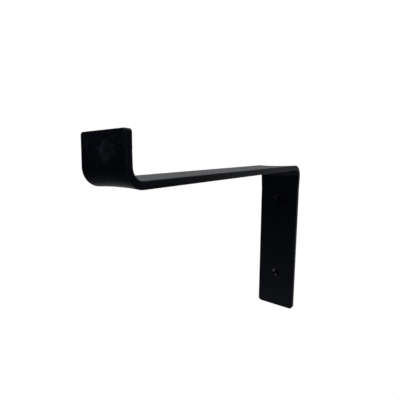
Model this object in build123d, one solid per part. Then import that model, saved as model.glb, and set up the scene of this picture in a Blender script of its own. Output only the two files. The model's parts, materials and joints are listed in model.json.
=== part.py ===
from build123d import *

import math
import os

# Lipped shelf bracket, bent from one length of flat bar.
# The plate is screwed to the wall, the level arm carries the board and the lip stops it sliding off.
# X runs across the bar, -Y points out from the wall and +Z is up.
# The origin lies on the wall face, midway between the two wall screws.

# Flat bar that the bracket is bent from
BAR_WIDTH = 40.0
BAR_THICKNESS = 5.0
BAR_EDGE_RADIUS = 0.8

# Outer sizes of the bent bar
ARM_REACH = 228.0  # wall face to the front of the lip
PLATE_DROP = 158.0  # top of the arm to the foot of the plate
LIP_RISE = 27.0  # top of the arm to the top of the lip
LIP_LEAN = 2.5  # degrees that the lip leans in over the board

# Rounded corners at the two ends of the bar
PLATE_CORNER_RADIUS = 3.5
LIP_CORNER_RADIUS = 2.0

# Both bends, made on one tool
BEND_RADIUS = 7.0  # inside of the bend
OUTSIDE_SPREAD_SHARE = 0.4  # how much of the swelling there is on the outside of a bend

# Bend between arm and plate
PLATE_BEND_DISH = 0.8  # how far the middle of the bar draws in towards the bend
PLATE_BEND_SPREAD = 0.9  # how far each side swells out at the inside of the bend
PLATE_BEND_FADE = 16.0  # length of flat bar on each side in which that dies away

# Bend between arm and lip
LIP_BEND_DISH = 1.0
LIP_BEND_SPREAD = 0.5
LIP_BEND_FADE = 9.0

# Screw holes, countersunk on the side that the screw goes in from
SCREW_BORE = 4.8
COUNTERSINK_DIAMETER = 10.0
COUNTERSINK_ANGLE = 90.0  # degrees across the cone
WALL_SCREW_SPACING = 84.0
WALL_SCREW_DROP = 78.0  # top of the arm to the middle of the two wall screws
SHELF_SCREW_SPACING = 84.0
SHELF_SCREW_SETBACK = 121.0  # wall face to the middle of the two shelf screws

# Cross-sections that carry the skin round each bend
BEND_STATIONS = 21

ARM_TOP = WALL_SCREW_DROP
BEND_OUTER_RADIUS = BEND_RADIUS + BAR_THICKNESS
PLATE_BEND_AXIS = Vector(0, -BEND_OUTER_RADIUS, ARM_TOP - BEND_OUTER_RADIUS)
LIP_BEND_AXIS = Vector(0, BEND_OUTER_RADIUS - ARM_REACH, ARM_TOP + BEND_RADIUS)


def section_plane(axis, angle, run=0.0):
    """Plane across the bar, turned about a bend's axis by an angle from +Y, then run on along the bar."""
    along = Vector(0, -math.sin(math.radians(angle)), math.cos(math.radians(angle)))
    return Plane(axis + along * run, x_dir=(1, 0, 0), z_dir=along)


def face_line(half_width, height, dish):
    """One broad face of the section: straight in flat bar, drawn in at its middle where the bar is bent."""
    left = (-half_width, height)
    right = (half_width, height)
    if dish == 0:
        return Line(left, right)
    return ThreePointArc(left, (0, height - dish), right)


def bar_section(dish=0.0, spread=0.0):
    """Section of the bar, seen along it, with the bend's axis at its origin."""
    inner = face_line(BAR_WIDTH / 2 + spread, BEND_RADIUS, dish)
    outer = face_line(BAR_WIDTH / 2 + spread * OUTSIDE_SPREAD_SHARE, BEND_OUTER_RADIUS, dish)
    sides = [Line(inner @ 0, outer @ 0), Line(inner @ 1, outer @ 1)]
    blank = make_face([inner, outer, *sides])
    return fillet(blank.vertices(), BAR_EDGE_RADIUS)


def bent_bar(axis, start, turn, dish, spread, fade):
    """The bar round one bend, from fade before it to fade after it, as a skin over its sections."""
    arc = math.radians(turn) * (BEND_RADIUS + BAR_THICKNESS / 2)
    length = fade + arc + fade
    sections = []
    for station in range(BEND_STATIONS):
        share = station / (BEND_STATIONS - 1)
        swell_share = (4 * share * (1 - share)) ** 2
        past = share * length - fade
        bent_share = min(max(past / arc, 0), 1)
        plane = section_plane(axis, start + turn * bent_share, past - arc * bent_share)
        sections.append(plane * bar_section(dish * swell_share, spread * swell_share))
    return loft(sections)


def bar_end(plane, length, corner_radius):
    """The last flat length of the bar, behind the plane, with its two corners rounded."""
    outline = Pos(0, -length / 2) * Rectangle(BAR_WIDTH, length)
    outline = fillet(outline.vertices().group_by(Axis.Y)[0], corner_radius)
    flat = extrude(Plane.XZ * outline, amount=-BAR_THICKNESS)
    faces = flat.faces().sort_by(Axis.Y)
    rims = [edge for face in (faces[0], faces[-1]) for edge in face.edges() if edge.center().Z < 0]
    flat = fillet(rims, BAR_EDGE_RADIUS)
    return plane * Pos(0, BEND_RADIUS, 0) * flat


def screw_holes(plane, spacing):
    """Two countersunk screw holes in a line along the plane's Y, with their mouths on the plane."""
    hole = CounterSinkHole(
        radius=SCREW_BORE / 2,
        counter_sink_radius=COUNTERSINK_DIAMETER / 2,
        depth=BAR_THICKNESS * 2,
        counter_sink_angle=COUNTERSINK_ANGLE,
    )
    return [plane * Pos(0, side * spacing / 2) * hole for side in (-1, 1)]


def shelf_bracket():
    """The whole bracket: lip, bend, arm, bend and plate in one bar, then its screw holes."""
    lip_turn = 90 + LIP_LEAN
    lip_start = 180 - LIP_LEAN
    lip_line = section_plane(LIP_BEND_AXIS, lip_start, -LIP_BEND_FADE)
    arm_line = section_plane(LIP_BEND_AXIS, lip_start + lip_turn, LIP_BEND_FADE)

    lean = math.radians(LIP_LEAN)
    lip_top = LIP_RISE - BEND_RADIUS - BEND_OUTER_RADIUS * math.sin(lean)
    lip_length = lip_top / math.cos(lean) - LIP_BEND_FADE
    arm_length = ARM_REACH - BEND_OUTER_RADIUS * 2 - LIP_BEND_FADE - PLATE_BEND_FADE
    plate_length = PLATE_DROP - BEND_OUTER_RADIUS - PLATE_BEND_FADE
    plate_line = section_plane(PLATE_BEND_AXIS, 0, -PLATE_BEND_FADE)

    bar = extrude(arm_line * bar_section(), amount=arm_length)
    bar += bent_bar(LIP_BEND_AXIS, lip_start, lip_turn, LIP_BEND_DISH, LIP_BEND_SPREAD, LIP_BEND_FADE)
    bar += bent_bar(PLATE_BEND_AXIS, 0, 90, PLATE_BEND_DISH, PLATE_BEND_SPREAD, PLATE_BEND_FADE)
    bar += bar_end(lip_line, lip_length, LIP_CORNER_RADIUS)
    bar += bar_end(plate_line, plate_length, PLATE_CORNER_RADIUS)

    # Wall screws go in from the front of the plate, shelf screws from under the arm.
    plate_front = Plane((0, -BAR_THICKNESS, 0), x_dir=(1, 0, 0), z_dir=(0, -1, 0))
    under_arm = (0, -SHELF_SCREW_SETBACK, ARM_TOP - BAR_THICKNESS)
    arm_underside = Plane(under_arm, x_dir=(-1, 0, 0), z_dir=(0, 0, -1))
    bar -= screw_holes(plate_front, WALL_SCREW_SPACING)
    bar -= screw_holes(arm_underside, SHELF_SCREW_SPACING)
    return bar


os.makedirs("parts", exist_ok=True)
bracket = shelf_bracket()
bracket.label = "bracket"
export_step(bracket, "parts/bracket.step")
box = bracket.bounding_box()
print("bracket", len(bracket.solids()), "solid", round(bracket.volume), "mm3", box.size)
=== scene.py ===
# %% [markdown]
# # A shelf bracket bent from black flat bar
#
# The real object is one length of flat steel bar, 40 mm wide and 5 mm thick. It is bent down at
# the back for the wall, bent up at the front to stop the shelf, drilled, and powder coated black.
# This lesson models the bar in the order a smith would make it: cut a blank, bend it, round its
# edges, drill it, coat it. Then it sets up the camera and a small studio.

# The finished piece must fit in it.

import json
import math

import bmesh
import bpy
from mathutils import Matrix, Vector

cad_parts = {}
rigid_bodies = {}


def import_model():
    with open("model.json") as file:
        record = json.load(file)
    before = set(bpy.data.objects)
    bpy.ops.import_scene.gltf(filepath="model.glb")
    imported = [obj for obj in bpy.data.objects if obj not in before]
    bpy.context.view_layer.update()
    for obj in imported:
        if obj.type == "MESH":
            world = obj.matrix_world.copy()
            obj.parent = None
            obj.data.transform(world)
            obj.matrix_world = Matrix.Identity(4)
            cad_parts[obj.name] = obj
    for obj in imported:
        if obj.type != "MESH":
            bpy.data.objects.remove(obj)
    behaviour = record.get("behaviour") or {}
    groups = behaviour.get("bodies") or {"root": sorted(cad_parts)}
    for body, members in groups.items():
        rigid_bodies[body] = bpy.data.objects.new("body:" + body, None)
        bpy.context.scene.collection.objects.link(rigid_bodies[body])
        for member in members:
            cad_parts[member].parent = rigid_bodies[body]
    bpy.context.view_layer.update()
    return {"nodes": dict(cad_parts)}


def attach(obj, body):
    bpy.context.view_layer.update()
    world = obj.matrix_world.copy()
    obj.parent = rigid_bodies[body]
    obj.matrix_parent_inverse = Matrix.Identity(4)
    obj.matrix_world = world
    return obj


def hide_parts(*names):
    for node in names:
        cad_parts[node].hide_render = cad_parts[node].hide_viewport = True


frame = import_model()
cad_bracket = frame["nodes"]["bracket"]
MM = 0.001

# %% [markdown]
# ## The blank
#
# A bent bar could be drawn as a side outline and pulled to its width, but then the saddle that
# bending leaves across the bar would have no columns to live in. So the start is a cube the size
# of the arm's straight run, cut into columns across its width. The bends grow out of its two ends.
#
# Edit mode acts on what is selected, so a helper selects faces or edges by a test on their place
# and direction, as a modeller does with the mouse.

# %% Add the blank
BAR_WIDTH = 40 * MM
BAR_THICKNESS = 5 * MM
ARM_TOP = 78 * MM
ARM_REACH = 228 * MM
BEND_INSIDE = 7 * MM
BEND_OUTSIDE = BEND_INSIDE + BAR_THICKNESS
PLATE_FADE = 16 * MM
LIP_FADE = 9 * MM
arm_back = -(BEND_OUTSIDE + PLATE_FADE)
arm_front = BEND_OUTSIDE + LIP_FADE - ARM_REACH
arm_middle = (arm_back + arm_front) / 2

bpy.ops.object.select_all(action="DESELECT")
bpy.ops.mesh.primitive_cube_add(
    size=1,
    location=(0, arm_middle, ARM_TOP - BAR_THICKNESS / 2),
    scale=(BAR_WIDTH, arm_back - arm_front, BAR_THICKNESS),
)
bar = bpy.context.object
bar.name = "bent_flat_bar"
bpy.ops.object.transform_apply(location=True, rotation=True, scale=True)
print("Blank:", round((arm_back - arm_front) / MM), "mm of bar")

# %% Cut it into columns
BAR_COLUMNS = 10


def select_parts(kind, test):
    """Selects the faces or edges that pass a test on themselves and their middle, and counts them."""
    bpy.ops.object.mode_set(mode="EDIT")
    bpy.ops.mesh.select_mode(type=kind)
    bpy.ops.mesh.select_all(action="DESELECT")
    mesh = bmesh.from_edit_mesh(bpy.context.object.data)
    parts = mesh.faces if kind == "FACE" else mesh.edges
    chosen = []
    for part in parts:
        middle = sum((vertex.co for vertex in part.verts), Vector()) / len(part.verts)
        if test(part, middle):
            chosen.append(part)
    for part in chosen:
        part.select_set(True)
    bmesh.update_edit_mesh(bpy.context.object.data)
    return len(chosen)


def runs_across(edge, middle):
    """Tells the edges that run across the whole bar."""
    start, end = (vertex.co for vertex in edge.verts)
    return abs(end.x - start.x) > BAR_WIDTH / 2


across = select_parts("EDGE", runs_across)
bpy.ops.mesh.subdivide(number_cuts=BAR_COLUMNS - 1)
print("Columns:", across, "edges cut into", BAR_COLUMNS)

# %% [markdown]
# ## The two bends
#
# A smith bends the bar round a former. A bend could be made from a straight bar by a modifier, but
# its radius would then follow from an angle and a length. Spin sweeps the selected end of the bar
# round an axis, so the radius is exact. A few short extrudes before and after each bend leave rows
# of faces in the flat bar beside it, where the strain of the bend dies away. Both bends turn the
# same way about the bar's width.

# %% Bend the wall plate down
BEND_STEPS = 16
FADE_STEPS = 6
EDGE_GAP = 0.01 * MM
RIGHT_ANGLE = math.radians(90)
PLATE_DROP = 158 * MM
plate_axis = Vector((0, -BEND_OUTSIDE, ARM_TOP - BEND_OUTSIDE))
plate_foot = ARM_TOP - PLATE_DROP


def extrude_end(run, steps=1):
    """Extrudes the selected end of the bar along a run, in equal steps."""
    for _ in range(steps):
        bpy.ops.mesh.extrude_region_move(TRANSFORM_OT_translate={"value": run / steps})


def bend_end(axis, turn):
    """Sweeps the selected end of the bar round a bend's axis."""
    bpy.ops.mesh.spin(steps=BEND_STEPS, angle=turn, center=axis, axis=(1, 0, 0))


select_parts("FACE", lambda face, middle: middle.y > arm_back - EDGE_GAP)
extrude_end(Vector((0, PLATE_FADE, 0)), FADE_STEPS)
bend_end(plate_axis, RIGHT_ANGLE)
extrude_end(Vector((0, 0, -PLATE_FADE)), FADE_STEPS)
extrude_end(Vector((0, 0, BEND_OUTSIDE + PLATE_FADE - PLATE_DROP)))
print("Wall plate: foot at", round(plate_foot / MM), "mm")

# %% Bend the lip up
LIP_RISE = 27 * MM
LIP_LEAN = math.radians(2.5)
lip_turn = RIGHT_ANGLE + LIP_LEAN
lip_axis = Vector((0, BEND_OUTSIDE - ARM_REACH, ARM_TOP + BEND_INSIDE))
lip_upward = Vector((0, math.sin(LIP_LEAN), math.cos(LIP_LEAN)))
lip_height = LIP_RISE - BEND_INSIDE - BEND_OUTSIDE * math.sin(LIP_LEAN)
lip_length = lip_height / math.cos(LIP_LEAN)

select_parts("FACE", lambda face, middle: middle.y < arm_front + EDGE_GAP)
extrude_end(Vector((0, -LIP_FADE, 0)), FADE_STEPS)
bend_end(lip_axis, lip_turn)
extrude_end(lip_upward * LIP_FADE, FADE_STEPS)
extrude_end(lip_upward * (lip_length - LIP_FADE))
bpy.ops.mesh.select_all(action="SELECT")
bpy.ops.mesh.normals_make_consistent(inside=False)
bpy.ops.object.mode_set(mode="OBJECT")
print("Lip:", round(lip_length / MM, 2), "mm straight, bar now has", len(bar.data.polygons), "faces")

# %% [markdown]
# ## The saddle that bending leaves
#
# Steel that is bent cold doesn't stay flat across the bend. Its middle draws in towards the axis,
# and the metal squeezed on the inside swells out at both sides. It could be sculpted, but then it
# could not be measured. Here each vertex gets a weight from its place along the bend and across
# the bar, and Displace modifiers push by those weights: along the normal for the two broad faces,
# and along X for the sides. A weight can't pass 1, so it counts steps of 1 mm.

# %% Describe the bends
MIDDLE_RADIUS = BEND_INSIDE + BAR_THICKNESS / 2
# Dish is how far the middle draws in, and spread how far a side swells out, both in steps.
BENDS = [
    {"axis": plate_axis, "way": 1, "turn": RIGHT_ANGLE, "fade": PLATE_FADE, "dish": 0.8, "spread": 0.9},
    {"axis": lip_axis, "way": -1, "turn": lip_turn, "fade": LIP_FADE, "dish": 1.0, "spread": 0.5},
]


def bend_place(place, bend):
    """Share of the way along a bend and its fades, and height of a place above the bend's axis."""
    along = bend["way"] * (place.y - bend["axis"].y)
    out = bend["way"] * (place.z - bend["axis"].z)
    turned = math.atan2(along, out)
    if along <= 0:
        run, height = along, out
    elif turned <= bend["turn"]:
        run, height = turned * MIDDLE_RADIUS, math.hypot(along, out)
    else:
        past = along * math.cos(bend["turn"]) - out * math.sin(bend["turn"])
        run = bend["turn"] * MIDDLE_RADIUS + past
        height = along * math.sin(bend["turn"]) + out * math.cos(bend["turn"])
    length = bend["turn"] * MIDDLE_RADIUS + 2 * bend["fade"]
    return (run + bend["fade"]) / length, height


print("Turns in degrees:", [round(math.degrees(bend["turn"]), 1) for bend in BENDS])

# %% Weigh the vertices
OUTSIDE_SPREAD_SHARE = 0.4
weights = {name: bar.vertex_groups.new(name=name) for name in ("inside", "outside", "left", "right")}
weighed = 0
for vertex in bar.data.vertices:
    bend = BENDS[0] if vertex.co.y > arm_middle else BENDS[1]
    share, height = bend_place(vertex.co, bend)
    if not 0 < share < 1:
        continue
    # The swell rises from nothing at the start of the fade to 1 in the middle, and dies away again.
    swell = (4 * share * (1 - share)) ** 2
    column = vertex.co.x / (BAR_WIDTH / 2)
    is_outside = height > MIDDLE_RADIUS
    drawn = bend["dish"] * swell * (1 - column ** 2)
    weights["outside" if is_outside else "inside"].add([vertex.index], drawn, "REPLACE")
    if abs(vertex.co.x) > BAR_WIDTH / 2 - EDGE_GAP:
        spread = bend["spread"] * swell * (OUTSIDE_SPREAD_SHARE if is_outside else 1)
        weights["right" if column > 0 else "left"].add([vertex.index], spread, "REPLACE")
    weighed += 1
print("Vertices in the bends:", weighed)

# %% Draw in the middle and swell the sides
SADDLE_STEP = 1 * MM
for name, direction, step in (
    ("outside", "NORMAL", -SADDLE_STEP),
    ("inside", "NORMAL", SADDLE_STEP),
    ("right", "X", SADDLE_STEP),
    ("left", "X", -SADDLE_STEP),
):
    push = bar.modifiers.new(name, "DISPLACE")
    push.direction = direction
    push.mid_level = 0
    push.strength = step
    push.vertex_group = name
for push in list(bar.modifiers):
    bpy.ops.object.modifier_apply(modifier=push.name)
bar.vertex_groups.clear()
print("Widest place across the bends:", round(bar.dimensions.x / MM, 2), "mm")

# %% [markdown]
# ## Corners and edges
#
# The sheared ends have small rounded corners, and every long edge of rolled flat bar is softened.
# The blank could have been rounded at the start, but spin and extrude are simpler on square bar.
# Bevel does both now, the corners first so that the edge rounding runs round them. The new rounded
# faces are still selected afterwards, so this is the moment to mark them: a vertex attribute keeps
# where the edges are, and the coat is rubbed there later and given a painted highlight.

# %% Round the corners
PLATE_CORNER = 3.5 * MM
PLATE_CORNER_STEPS = 7
LIP_CORNER = 2.0 * MM
LIP_CORNER_STEPS = 6
END_BAND = 1 * MM
lip_end = ARM_TOP + LIP_RISE


def is_corner(edge, end):
    """Tells the edges through the thickness at the bar's two sides, near the height of one end."""
    is_near = all(abs(vertex.co.z - end) < END_BAND for vertex in edge.verts)
    return is_near and all(abs(vertex.co.x) > BAR_WIDTH / 2 - EDGE_GAP for vertex in edge.verts)


def round_selected(radius, steps):
    """Rounds the selected edges to a radius."""
    bpy.ops.mesh.bevel(
        offset_type="OFFSET", offset=radius, segments=steps, profile=0.5, clamp_overlap=False
    )


foot_corners = select_parts("EDGE", lambda edge, middle: is_corner(edge, plate_foot))
round_selected(PLATE_CORNER, PLATE_CORNER_STEPS)
lip_corners = select_parts("EDGE", lambda edge, middle: is_corner(edge, lip_end))
round_selected(LIP_CORNER, LIP_CORNER_STEPS)
print("Corners rounded:", foot_corners, "at the foot,", lip_corners, "on the lip")

# %% Round and mark the edges
EDGE_RADIUS = 0.8 * MM
EDGE_STEPS = 4
SHARP_TURN = math.radians(50)
bpy.ops.mesh.select_all(action="DESELECT")
bpy.ops.mesh.edges_select_sharp(sharpness=SHARP_TURN)
round_selected(EDGE_RADIUS, EDGE_STEPS)
bpy.ops.mesh.select_mode(type="VERT")
bpy.ops.mesh.select_less()
bpy.ops.geometry.attribute_add(name="worn_and_highlit_edge", domain="POINT", data_type="FLOAT")
bpy.ops.mesh.attribute_set(value_float=1.0)
bpy.ops.object.mode_set(mode="OBJECT")
print("Edges: rounded to", EDGE_RADIUS / MM, "mm, bar now has", len(bar.data.polygons), "faces")

# %% [markdown]
# ## Screw holes
#
# Two holes in the plate take the wall screws, countersunk at the front. Two in the arm take the
# shelf screws, countersunk underneath. They could be bevelled after cutting, but a bevel on cut
# faces folds where other edges meet the rim. So one drill shape carries the rounding: a circle is
# extruded ring by ring into a spool, with a flange just clear of each face, and the spool's own
# edges are bevelled. Copies of it are then cut away together by one Boolean.

# %% List the drill's rings
BORE_RADIUS = 2.4 * MM
SINK_RADIUS = 5.0 * MM
FACE_GAP = 0.02 * MM
FLANGE = 1 * MM
cone_start = BAR_THICKNESS - (SINK_RADIUS - BORE_RADIUS)
mouth_radius = SINK_RADIUS + FACE_GAP
# Each ring is a depth from the far face of the bar, and a radius.
rings = [
    (-FLANGE, BORE_RADIUS + FLANGE),
    (-FACE_GAP, BORE_RADIUS + FLANGE),
    (-FACE_GAP, BORE_RADIUS),
    (cone_start, BORE_RADIUS),
    (BAR_THICKNESS + FACE_GAP, mouth_radius),
    (BAR_THICKNESS + FACE_GAP, SINK_RADIUS + FLANGE),
    (BAR_THICKNESS + FLANGE, SINK_RADIUS + FLANGE),
]
print("Drill:", len(rings), "rings, cone from", round(cone_start / MM, 2), "mm")

# %% Extrude the drill
DRILL_SIDES = 64
first_depth, first_radius = rings[0]
bpy.ops.object.select_all(action="DESELECT")
bpy.ops.mesh.primitive_circle_add(
    vertices=DRILL_SIDES, radius=first_radius, fill_type="NGON", location=(0, 0, first_depth)
)
drill = bpy.context.object
bpy.ops.object.transform_apply(location=True)
bpy.ops.object.mode_set(mode="EDIT")
bpy.ops.mesh.select_all(action="SELECT")
for (depth, radius), (next_depth, next_radius) in zip(rings, rings[1:]):
    extrude_end(Vector((0, 0, next_depth - depth)))
    bpy.ops.transform.resize(value=[next_radius / radius] * 3, center_override=(0, 0, next_depth))
bpy.ops.mesh.select_all(action="SELECT")
bpy.ops.mesh.normals_make_consistent(inside=False)
print("Drill:", round((next_depth - first_depth) / MM, 2), "mm long")

# %% Round the drill's rims
RIM_RADIUS = 0.3 * MM
RIM_STEPS = 3


def is_drill_rim(edge, middle):
    """Tells the rings at the bore's end, at the foot of the cone and at its mouth."""
    start, end = (vertex.co for vertex in edge.verts)
    reach = math.hypot(start.x, start.y)
    is_level = abs(start.z - end.z) < EDGE_GAP
    is_ring = is_level and abs(reach - math.hypot(end.x, end.y)) < EDGE_GAP
    return is_ring and min(abs(reach - BORE_RADIUS), abs(reach - mouth_radius)) < EDGE_GAP


rim_edges = select_parts("EDGE", is_drill_rim)
round_selected(RIM_RADIUS, RIM_STEPS)
bpy.ops.object.mode_set(mode="OBJECT")
print("Drill:", len(drill.data.polygons), "faces,", rim_edges, "rim edges rounded")

# %% Place the drills
SCREW_SPACING = 84 * MM
SHELF_SETBACK = 121 * MM
wall_screws = [Vector((0, 0, side * SCREW_SPACING / 2)) for side in (-1, 1)]
shelf_screws = [Vector((0, side * SCREW_SPACING / 2 - SHELF_SETBACK, ARM_TOP)) for side in (-1, 1)]
bpy.ops.object.select_all(action="DESELECT")
for screw in wall_screws + shelf_screws:
    copy = drill.copy()
    copy.data = drill.data.copy()
    bpy.context.collection.objects.link(copy)
    copy.location = screw
    # The cone opens upward: a quarter turn aims it to the front, and a half turn to the floor.
    copy.rotation_euler.x = RIGHT_ANGLE if screw in wall_screws else 2 * RIGHT_ANGLE
    copy.select_set(True)
    bpy.context.view_layer.objects.active = copy
bpy.ops.object.join()
drills = bpy.context.object
bpy.data.objects.remove(drill)
print("Drills:", len(wall_screws), "for the wall,", len(shelf_screws), "for the shelf")

# %% Drill the bar
bpy.ops.object.select_all(action="DESELECT")
bar.select_set(True)
bpy.context.view_layer.objects.active = bar
cut = bar.modifiers.new("drilling", "BOOLEAN")
cut.operation = "DIFFERENCE"
cut.solver = "EXACT"
cut.object = drills
bpy.ops.object.modifier_apply(modifier="drilling")
bpy.data.objects.remove(drills)
print("Drilled: bar now has", len(bar.data.polygons), "faces")

# %% [markdown]
# A screw head turns in the cone and wears the coat there. The shader could look for the cones by
# their place, but their edge is sharper in the mesh. So those vertices get an attribute of their
# own, as the edges did.

# %% Mark where the screw heads seat
SEAT_MARGIN = 0.1 * MM
seat_reach = SINK_RADIUS - SEAT_MARGIN
seat_depth = cone_start - 2 * RIM_RADIUS


def is_seat(edge, middle):
    """Tells the edges in the cone of a hole."""
    for screw in wall_screws + shelf_screws:
        spoke = middle - screw
        is_wall = screw in wall_screws
        reach = math.hypot(spoke.x, spoke.z if is_wall else spoke.y)
        depth = -spoke.y if is_wall else -spoke.z
        if reach < seat_reach and depth > seat_depth:
            return True
    return False


seat_edges = select_parts("EDGE", is_seat)
bpy.ops.mesh.select_mode(type="VERT")
bpy.ops.geometry.attribute_add(name="screw_seat", domain="POINT", data_type="FLOAT")
bpy.ops.mesh.attribute_set(value_float=1.0)
bpy.ops.object.mode_set(mode="OBJECT")
print("Screw seats:", seat_edges, "edges marked")

# %% [markdown]
# ## Smooth shading, and a check against the CAD
#
# Faces that meet at less than 35 degrees are shaded as one surface. A Weighted Normal modifier
# then lets the broad flat faces keep their own direction, so no false shade creeps in beside a
# rounded edge. Last, every vertex of the CAD model is measured against the new mesh.

# %% Shade the bar smooth
SMOOTH_TURN = math.radians(35)
bpy.ops.object.shade_smooth_by_angle(angle=SMOOTH_TURN)
flatten = bar.modifiers.new("flat_faces", "WEIGHTED_NORMAL")
flatten.keep_sharp = True
bpy.ops.object.modifier_apply(modifier="flat_faces")
print("Smooth faces:", sum(face.use_smooth for face in bar.data.polygons))

# %% Measure the bar
furthest = 0
for vertex in cad_bracket.data.vertices:
    _, nearest, _, _ = bar.closest_point_on_mesh(vertex.co)
    furthest = max(furthest, (nearest - vertex.co).length)
shell = bmesh.new()
shell.from_mesh(bar.data)
open_edges = sum(len(edge.link_faces) != 2 for edge in shell.edges)
volume = shell.calc_volume()
shell.free()
print("Bar:", len(bar.data.polygons), "faces,", open_edges, "open edges,", round(volume / MM ** 3), "mm3")
print("Furthest CAD vertex from it:", round(furthest / MM, 3), "mm")

# %% [markdown]
# ## Colours and nodes
#
# Colours are written as a painter would pick them, in sRGB hex, and one function turns them into
# the linear values that Blender's sockets take. One more function adds a node with its settings
# and links and gives one of its outputs, so that a material reads as a list.

# %% Two helpers for materials
MULTIPLY = {"operation": "MULTIPLY"}
LARGER = {"operation": "MAXIMUM"}


def hex_colour(text):
    """Turns an sRGB hex value into a linear colour."""
    shares = [int(text[start:start + 2], 16) / 255 for start in (1, 3, 5)]
    linear = [s / 12.92 if s <= 0.04045 else ((s + 0.055) / 1.055) ** 2.4 for s in shares]
    return (*linear, 1.0)


def add_node(tree, kind, settings, links, output=0):
    """Adds a node with settings or socket values and links from other outputs, and gives an output."""
    node = tree.nodes.new("ShaderNode" + kind)
    for name, value in settings.items():
        if isinstance(name, str) and hasattr(node, name):
            setattr(node, name, value)
        else:
            node.inputs[name].default_value = value
    for name, source in links.items():
        tree.links.new(source, node.inputs[name])
    return node.outputs[output]


print("Jet black is", [round(c, 4) for c in hex_colour("#0E0E10")], "in linear values")

# %% [markdown]
# ## The powder coat
#
# Powder coat is sprayed on dry and baked. It melts into a tough skin with a fine orange-peel
# surface and a satin sheen, never quite smooth and never quite one shade. In the photograph it is
# a cold black. One dark colour would look like plastic. A dark coat shows its surface mostly
# through its sheen, so most of the detail goes into bump and roughness, and only a little into
# colour.
#
# Every uneven thing on it starts as noise of a real size, so all the noise is listed in one table.

# %% Start the coat
coat = bpy.data.materials.new("satin_black_powder_coat")
coat.use_nodes = True
coat_nodes = coat.node_tree
skin = coat_nodes.nodes["Principled BSDF"]
# A satin polyester skin: very dark seen straight on, with a soft sheen at a flat angle.
skin.inputs["Specular IOR Level"].default_value = 0.05
on_bar = add_node(coat_nodes, "TexCoord", {}, {}, "Object")
x_place, y_place, z_place = add_node(coat_nodes, "SeparateXYZ", {}, {0: on_bar}).node.outputs
print("Coat:", coat.name)

# %% Make its patterns
# The grain and the dust are about 0.2 mm on the real coat. They are drawn 0.8 mm wide here, or they
# would not show.
patterns = {}
for name, size, detail, seed in (
    ("clouds", 35 * MM, 3, 1.0),
    ("grain", 0.8 * MM, 1, 3.0),
    ("peel", 2 * MM, 2, 7.0),
    ("handling", 1.6 * MM, 3, 11.0),
    ("worn_spots", 3 * MM, 1, 20.0),
    ("dust_patches", 8 * MM, 2, 19.0),
    ("dust_specks", 0.8 * MM, 1, 23.0),
    # These specks draw a painted highlight along the lip's near edge.
    ("edge_highlight_specks", 0.8 * MM, 1, 37.0),
    ("smears", 1.5 * MM, 3, 29.0),
):
    settings = {"noise_dimensions": "4D", "Scale": 1 / size, "Detail": detail, "W": seed}
    patterns[name] = add_node(coat_nodes, "TexNoise", settings, {"Vector": on_bar}, "Fac")
print("Patterns:", ", ".join(patterns))

# %% [markdown]
# Baking leaves slow clouds in the film, a few centimetres across. They could be painted, but two
# near blacks mixed by noise do the same. Handling then polishes the long edges in patches, and
# these patches are painted a shade lighter: partly worn coat, partly a painted highlight. The edge
# attribute from the modelling says where the edges are.

# %% Cloud the film
# A Mix node has sockets for several kinds of value. These numbers are its colours and their mix.
UNDER = 6
OVER = 7
MIXED = 2
cloud_range = {"From Min": 0.35, "From Max": 0.65}
cloudy = add_node(coat_nodes, "MapRange", cloud_range, {"Value": patterns["clouds"]})
film_colours = {"data_type": "RGBA", UNDER: hex_colour("#070B14"), OVER: hex_colour("#0C121C")}
film = add_node(coat_nodes, "Mix", film_colours, {0: cloudy}, MIXED)
print("Film:", len(coat_nodes.nodes), "nodes so far")

# %% Rub the edges and paint a highlight on them
on_edge = add_node(coat_nodes, "Attribute", {"attribute_name": "worn_and_highlit_edge"}, {}, "Fac")
handled_range = {"From Min": 0.45, "From Max": 0.65, "To Min": 0.1}
handled = add_node(coat_nodes, "MapRange", handled_range, {"Value": patterns["handling"]})
worn_and_highlit = add_node(coat_nodes, "Math", MULTIPLY, {0: on_edge, 1: handled})
# A shade lighter on the edges: partly worn coat, partly a painted highlight.
worn_highlit_colour = {"data_type": "RGBA", OVER: hex_colour("#171A20")}
worn_highlit_film = add_node(coat_nodes, "Mix", worn_highlit_colour, {0: worn_and_highlit, UNDER: film}, MIXED)
print("Film and edges:", len(coat_nodes.nodes), "nodes so far")

# %% [markdown]
# In the lower wall hole the screw has worn through to steel in spots, which glint. The other holes
# are worn much less. Bare steel could be a material of its own, but its spots have ragged edges, so
# the coat turns to metal by a share instead.

# %% Bare the steel in the screw seats
# The lower wall hole lies below this band about the plate's middle, and the other holes above it.
WEAR_BAND = 20 * MM
in_seat = add_node(coat_nodes, "Attribute", {"attribute_name": "screw_seat"}, {}, "Fac")
height_range = {"From Min": -WEAR_BAND, "From Max": WEAR_BAND, "To Min": 1, "To Max": 0.15}
used = add_node(coat_nodes, "MapRange", height_range, {"Value": z_place})
worn_seat = add_node(coat_nodes, "Math", MULTIPLY, {0: in_seat, 1: used})
spot_range = {"From Min": 0.5, "From Max": 0.6}
spots = add_node(coat_nodes, "MapRange", spot_range, {"Value": patterns["worn_spots"]})
bare = add_node(coat_nodes, "Math", MULTIPLY, {0: worn_seat, 1: spots})
coat_nodes.links.new(bare, skin.inputs["Metallic"])
steel_colour = {"data_type": "RGBA", OVER: hex_colour("#5E5E5C")}
worn_film = add_node(coat_nodes, "Mix", steel_colour, {0: bare, UNDER: worn_highlit_film}, MIXED)
print("Seats: most steel below", -WEAR_BAND / MM, "mm")
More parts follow.
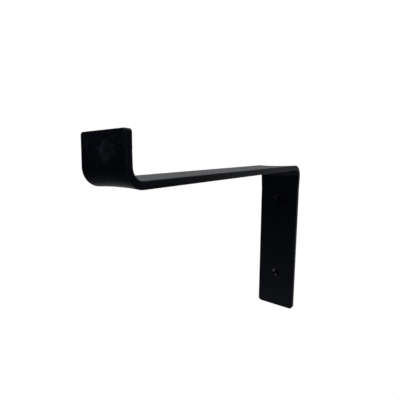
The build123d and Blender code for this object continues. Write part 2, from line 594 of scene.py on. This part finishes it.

# %% [markdown]
# The front of the lip is what hands touch. It carries pale specks of dust, thinner towards the bend,
# and a soft smudge the size of a fingertip, brighter along its left side. A line of pale specks along
# its near edge is a painted highlight where the face turns into the rounded edge. They could be
# painted on by hand, but masks can be measured. The masks are built from the place on the lip: how
# far forward, how high, and how far from the smudge's middle. Each layer of dust or highlight is
# then a product of masks.

# %% Mark out the lip's front
FINGER_CENTRE = (4 * MM, -227.6 * MM, 94 * MM)
finger_distance = {"operation": "DISTANCE", 1: FINGER_CENTRE}
from_finger = add_node(coat_nodes, "VectorMath", finger_distance, {0: on_bar}, "Value")
masks = {}
for name, source, low, high, at_low, at_high in (
    ("front", y_place, -226.8 * MM, -226.2 * MM, 1, 0),
    ("above_bend", z_place, 84 * MM, 92 * MM, 0.1, 1),
    # This band and the edge specks further down hold a painted highlight along the lip's near edge.
    ("edge_highlight_band", x_place, 17.8 * MM, 18.6 * MM, 0, 1),
    ("left_side", x_place, 0, 8 * MM, 1, 0.35),
    ("fingertip", from_finger, 4 * MM, 7.5 * MM, 1, 0),
    ("hollow", from_finger, 1 * MM, 4.5 * MM, 0.4, 1),
    ("patches", patterns["dust_patches"], 0.4, 0.6, 0.25, 1),
    ("specks", patterns["dust_specks"], 0.52, 0.67, 0, 0.95),
    ("edge_highlight_specks", patterns["edge_highlight_specks"], 0.48, 0.62, 0, 0.6),
    ("smears", patterns["smears"], 0.34, 0.58, 0.2, 1.0),
):
    settings = {"From Min": low, "From Max": high, "To Min": at_low, "To Max": at_high}
    masks[name] = add_node(coat_nodes, "MapRange", settings, {"Value": source})
print("Masks on the lip:", ", ".join(masks))

# %% Dust and smudge the lip's front, and paint a highlight along its near edge
layers = []
for first, *others in (
    ("front", "above_bend", "patches", "specks"),
    # This layer is a painted highlight: a line of pale specks along the near edge.
    ("front", "above_bend", "patches", "edge_highlight_band", "edge_highlight_specks"),
    ("front", "fingertip", "hollow", "left_side", "smears"),
):
    layer = masks[first]
    for other in others:
        layer = add_node(coat_nodes, "Math", MULTIPLY, {0: layer, 1: masks[other]})
    layers.append(layer)
dust_and_highlight = layers[0]
for layer in layers[1:]:
    dust_and_highlight = add_node(coat_nodes, "Math", LARGER, {0: dust_and_highlight, 1: layer})
# One pale colour serves the dust, the smudge and the painted highlight.
dust_and_highlight_colour = {"data_type": "RGBA", OVER: hex_colour("#3C414C")}
dusty_highlit_film = add_node(coat_nodes, "Mix", dust_and_highlight_colour, {0: dust_and_highlight, UNDER: worn_film}, MIXED)
coat_nodes.links.new(dusty_highlit_film, skin.inputs["Base Color"])
print("Dust:", len(layers), "layers, smudge at", [round(c / MM, 1) for c in FINGER_CENTRE], "mm")

# %% [markdown]
# Grain and orange peel stay out of the colour. They turn the surface a little, so that light
# breaks up on it, and the grain also varies the sheen. Rubbed edges and bare steel are smoother.
# Real bumps would take millions of faces, so bump nodes only turn the light.

# %% Give the coat its surface
RUB_POLISH = -0.08
STEEL_POLISH = -0.2
BUMP_STRENGTH = 0.4
satin_range = {"From Min": 0.3, "From Max": 0.7, "To Min": 0.45, "To Max": 0.55}
satin = add_node(coat_nodes, "MapRange", satin_range, {"Value": patterns["grain"]})
for share, polish in ((worn_and_highlit, RUB_POLISH), (bare, STEEL_POLISH)):
    settings = {"operation": "MULTIPLY_ADD", 1: polish}
    satin = add_node(coat_nodes, "Math", settings, {0: share, 2: satin})
coat_nodes.links.new(satin, skin.inputs["Roughness"])
grain_depth = {"Strength": BUMP_STRENGTH, "Distance": 0.1 * MM}
grainy = add_node(coat_nodes, "Bump", grain_depth, {"Height": patterns["grain"]})
peel_depth = {"Strength": BUMP_STRENGTH, "Distance": 0.15 * MM}
wavy = add_node(coat_nodes, "Bump", peel_depth, {"Height": patterns["peel"], "Normal": grainy})
coat_nodes.links.new(wavy, skin.inputs["Normal"])
print("Powder coat:", len(coat_nodes.nodes), "nodes")

# %% Coat the bar
bar.data.materials.clear()
bar.data.materials.append(coat)
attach(bar, "root")
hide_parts("bracket")
print("Coated:", bar.name)

# %% [markdown]
# ## The camera
#
# The camera stands where the photograph was taken from, close to the lip and just above the arm,
# and turned a little to the wall. It could be placed by eye, but edges then miss by many pixels.
# Its place and lens were fitted to the bracket's edges in the photograph. The photograph isn't
# centred on the lens, so a small shift frames it.

# %% Aim the camera
EYE = Vector((144.297, -328.597, 91.587)) * MM
TURN, PITCH, ROLL = (math.radians(angle) for angle in (41.788, 10.400, 1.142))
ahead = Vector((-math.sin(TURN) * math.cos(PITCH), math.cos(TURN) * math.cos(PITCH), -math.sin(PITCH)))
level = Vector((math.cos(TURN), math.sin(TURN), 0))
downward = ahead.cross(level)
right = level * math.cos(ROLL) + downward * math.sin(ROLL)
upward = level * math.sin(ROLL) - downward * math.cos(ROLL)
print("Camera looks along", [round(c, 2) for c in ahead])

# %% Set its lens
PHOTO_SIZE = 400
FOCAL_PIXELS = 316.621
LENS_CENTRE = (178.240, 212.095)
lens = bpy.data.cameras.new("photo_camera")
lens.sensor_width = 36
lens.lens = FOCAL_PIXELS / PHOTO_SIZE * lens.sensor_width
lens.shift_x = (PHOTO_SIZE / 2 - LENS_CENTRE[0]) / PHOTO_SIZE
lens.shift_y = (LENS_CENTRE[1] - PHOTO_SIZE / 2) / PHOTO_SIZE
lens.clip_start = 0.01
camera = bpy.data.objects.new("photo_camera", lens)
camera.matrix_world = Matrix.Translation(EYE) @ Matrix((right, upward, -ahead)).transposed().to_4x4()
bpy.context.scene.collection.objects.link(camera)
bpy.context.scene.camera = camera
print("Camera:", round(lens.lens, 1), "mm lens on a", lens.sensor_width, "mm sensor")

# %% [markdown]
# ## The studio
#
# The bracket hangs at shelf height over a plain pale floor, with white all round it. The white
# could be walls, but they would light the bracket from all sides. So it is the world: pure white
# to the camera and in reflections, but giving little light, so that one lamp can do the lighting.
# The floor fades to the same white, so no horizon cuts through a view.

# %% Make the white surround
SURROUND_LIGHT = 0.04
WHITE = hex_colour("#FFFFFF")


def seen_rays(tree):
    """Gives 1 to rays from the camera, reflections and glass, and 0 to rays that gather light."""
    ray = add_node(tree, "LightPath", {}, {}).node.outputs
    mirrored = add_node(tree, "Math", LARGER, {0: ray["Is Glossy Ray"], 1: ray["Is Transmission Ray"]})
    return add_node(tree, "Math", LARGER, {0: ray["Is Camera Ray"], 1: mirrored})


surround = bpy.data.worlds.new("white_surround")
bpy.context.scene.world = surround
surround.use_nodes = True
sky_nodes = surround.node_tree
sky = sky_nodes.nodes["Background"]
sky.inputs["Color"].default_value = WHITE
strength = add_node(sky_nodes, "MapRange", {"To Min": SURROUND_LIGHT}, {"Value": seen_rays(sky_nodes)})
sky_nodes.links.new(strength, sky.inputs["Strength"])
print("Surround: white to the eye, and a light of", SURROUND_LIGHT)

# %% Paint the floor
FLOOR_HAZE = 0.5
FLOOR_FADE = 0.8
floor_paint = bpy.data.materials.new("pale_painted_floor")
floor_paint.use_nodes = True
floor_nodes = floor_paint.node_tree
# Flat floor paint: an even pale face with hardly any gloss, on which only soft shadows show.
paint = floor_nodes.nodes["Principled BSDF"]
paint.inputs["Base Color"].default_value = hex_colour("#DCDAD6")
paint.inputs["Roughness"].default_value = 0.8
on_floor = add_node(floor_nodes, "TexCoord", {}, {}, "Object")
away = add_node(floor_nodes, "VectorMath", {"operation": "LENGTH"}, {0: on_floor}, "Value")
haze_range = {"From Max": FLOOR_FADE, "To Min": FLOOR_HAZE}
haze = add_node(floor_nodes, "MapRange", haze_range, {"Value": away})
fade = add_node(floor_nodes, "Math", MULTIPLY, {0: seen_rays(floor_nodes), 1: haze})
white = add_node(floor_nodes, "Emission", {"Color": WHITE, "Strength": 1.0}, {})
floor_face = add_node(floor_nodes, "MixShader", {}, {0: fade, 1: paint.outputs[0], 2: white})
floor_nodes.links.new(floor_face, floor_nodes.nodes["Material Output"].inputs["Surface"])
print("Floor paint: white from", FLOOR_FADE, "m out")

# %% Lay the floor
FLOOR_DROP = 0.95
FLOOR_SIZE = 3.0
bpy.ops.object.select_all(action="DESELECT")
bpy.ops.mesh.primitive_plane_add(size=FLOOR_SIZE, location=(0, 0, -FLOOR_DROP))
floor = bpy.context.object
floor.name = "floor"
floor.data.materials.append(floor_paint)
print("Floor:", FLOOR_SIZE, "m wide,", FLOOR_DROP, "m below")

# %% [markdown]
# A black object shows what it mirrors. It could be kept dark by a dim room, but then every view of
# it would be dim. Photographers stand black cloth beside the camera instead and call it a flag.
# Three flags stand here: in front, to the left and to the right. The front one ends above the
# floor, so the foot of the plate mirrors white under it and is a little lighter than the top. The
# right one ends where the arm's side should turn from black to grey. The camera doesn't see the
# flags, so they stay out of the other views.

# %% Make the flag cloth
cloth = bpy.data.materials.new("black_flag_cloth")
cloth.use_nodes = True
# Brushed black cotton: it swallows nearly all light and has no gloss.
cotton = cloth.node_tree.nodes["Principled BSDF"]
cotton.inputs["Base Color"].default_value = hex_colour("#060606")
cotton.inputs["Roughness"].default_value = 1.0
print("Cloth:", cloth.name)

# %% Stand three black flags
FLAG_TOP = 1.6
FLAG_FRONT = -1.2
FLAG_LEFT = -1.1
FLAG_RIGHT = 1.7
# Start and end are places on the floor plan, and foot is the height of the lower edge.
FLAGS = {
    "front_flag": {"start": (FLAG_LEFT, FLAG_FRONT), "end": (0.9, FLAG_FRONT), "foot": -0.35},
    "left_flag": {"start": (FLAG_LEFT, 0.15), "end": (FLAG_LEFT, FLAG_FRONT), "foot": -FLOOR_DROP},
    "right_flag": {"start": (FLAG_RIGHT, -0.5), "end": (FLAG_RIGHT, 2.4), "foot": -FLOOR_DROP},
}
for name, plan in FLAGS.items():
    run = Vector(plan["end"]) - Vector(plan["start"])
    middle = (Vector(plan["start"]) + Vector(plan["end"])) / 2
    bpy.ops.mesh.primitive_plane_add(
        size=1,
        location=(middle.x, middle.y, (FLAG_TOP + plan["foot"]) / 2),
        rotation=(RIGHT_ANGLE, 0, math.atan2(run.y, run.x)),
    )
    flag = bpy.context.object
    flag.name = name
    flag.scale = (run.length, FLAG_TOP - plan["foot"], 1)
    flag.data.materials.append(cloth)
    flag.visible_camera = False
print("Flags:", ", ".join(FLAGS))

# %% [markdown]
# In the photograph nothing bright shows through the wall holes, as if the plate lay on something
# dark. A whole wall would hide the back of the bracket, so a dark disc in the mouth of each bore is
# painted shadow that stands for that wall in shade. The discs belong to the studio and not to the
# bracket. They are clear from behind, so there the holes are open.

# %% Paint the shadow in the bores
bore_shadow_paint = bpy.data.materials.new("dark_wall_paint")
bore_shadow_paint.use_nodes = True
bore_shadow_nodes = bore_shadow_paint.node_tree
bore_shadow_nodes.nodes.remove(bore_shadow_nodes.nodes["Principled BSDF"])
# Dull dark paint: no gloss, so the bore looks like a shadow.
dull = add_node(bore_shadow_nodes, "BsdfDiffuse", {"Color": hex_colour("#0A0A0A")}, {})
clear = add_node(bore_shadow_nodes, "BsdfTransparent", {}, {})
behind = add_node(bore_shadow_nodes, "NewGeometry", {}, {}, "Backfacing")
bore_shadow_face = add_node(bore_shadow_nodes, "MixShader", {}, {0: behind, 1: dull, 2: clear})
bore_shadow_nodes.links.new(bore_shadow_face, bore_shadow_nodes.nodes["Material Output"].inputs["Surface"])
print("Bore shadow paint:", bore_shadow_paint.name)

# %% Set a disc of painted shadow in each wall hole
DISC_RADIUS = BORE_RADIUS + 0.2 * MM
DISC_DEPTH = 0.5 * MM
DISC_SIDES = 32
for number, screw in enumerate(wall_screws):
    bpy.ops.mesh.primitive_circle_add(
        vertices=DISC_SIDES,
        radius=DISC_RADIUS,
        fill_type="NGON",
        rotation=(RIGHT_ANGLE, 0, 0),
        location=screw - Vector((0, DISC_DEPTH, 0)),
    )
    disc = bpy.context.object
    disc.name = f"dark_wall_{number + 1}"
    disc.data.materials.append(bore_shadow_paint)
print("Bore shadow:", len(wall_screws), "discs")

# %% [markdown]
# ## Light
#
# Small lamps would draw bright spots on the coat, so one wide softbox overhead gives the plain
# light. A very weak fill low in front of the plate lifts its foot by a shade, as in the photograph.

# %% Light the studio
SOFTBOX_SIZE = 3
SOFTBOX_PLACE = Vector((0, 0, 2.4))
SOFTBOX_WATTS = 75
FILL_SIZE = 0.12
FILL_PLACE = Vector((-0.06, -0.12, -0.2))
FILL_WATTS = 0.06
fill_aim = (Vector((0, 0, plate_foot)) - FILL_PLACE).to_track_quat("-Z", "Y").to_euler()
for name, size, stand, aim, watts in (
    ("overhead_softbox", SOFTBOX_SIZE, SOFTBOX_PLACE, (0, 0, 0), SOFTBOX_WATTS),
    ("low_fill", FILL_SIZE, FILL_PLACE, fill_aim, FILL_WATTS),
):
    light = bpy.data.lights.new(name, "AREA")
    light.shape = "SQUARE"
    light.size = size
    light.energy = watts
    lamp = bpy.data.objects.new(name, light)
    lamp.location = stand
    lamp.rotation_euler = aim
    bpy.context.scene.collection.objects.link(lamp)
bpy.context.scene.view_settings.view_transform = "Standard"
print("Softbox:", SOFTBOX_WATTS, "W, fill:", FILL_WATTS, "W")
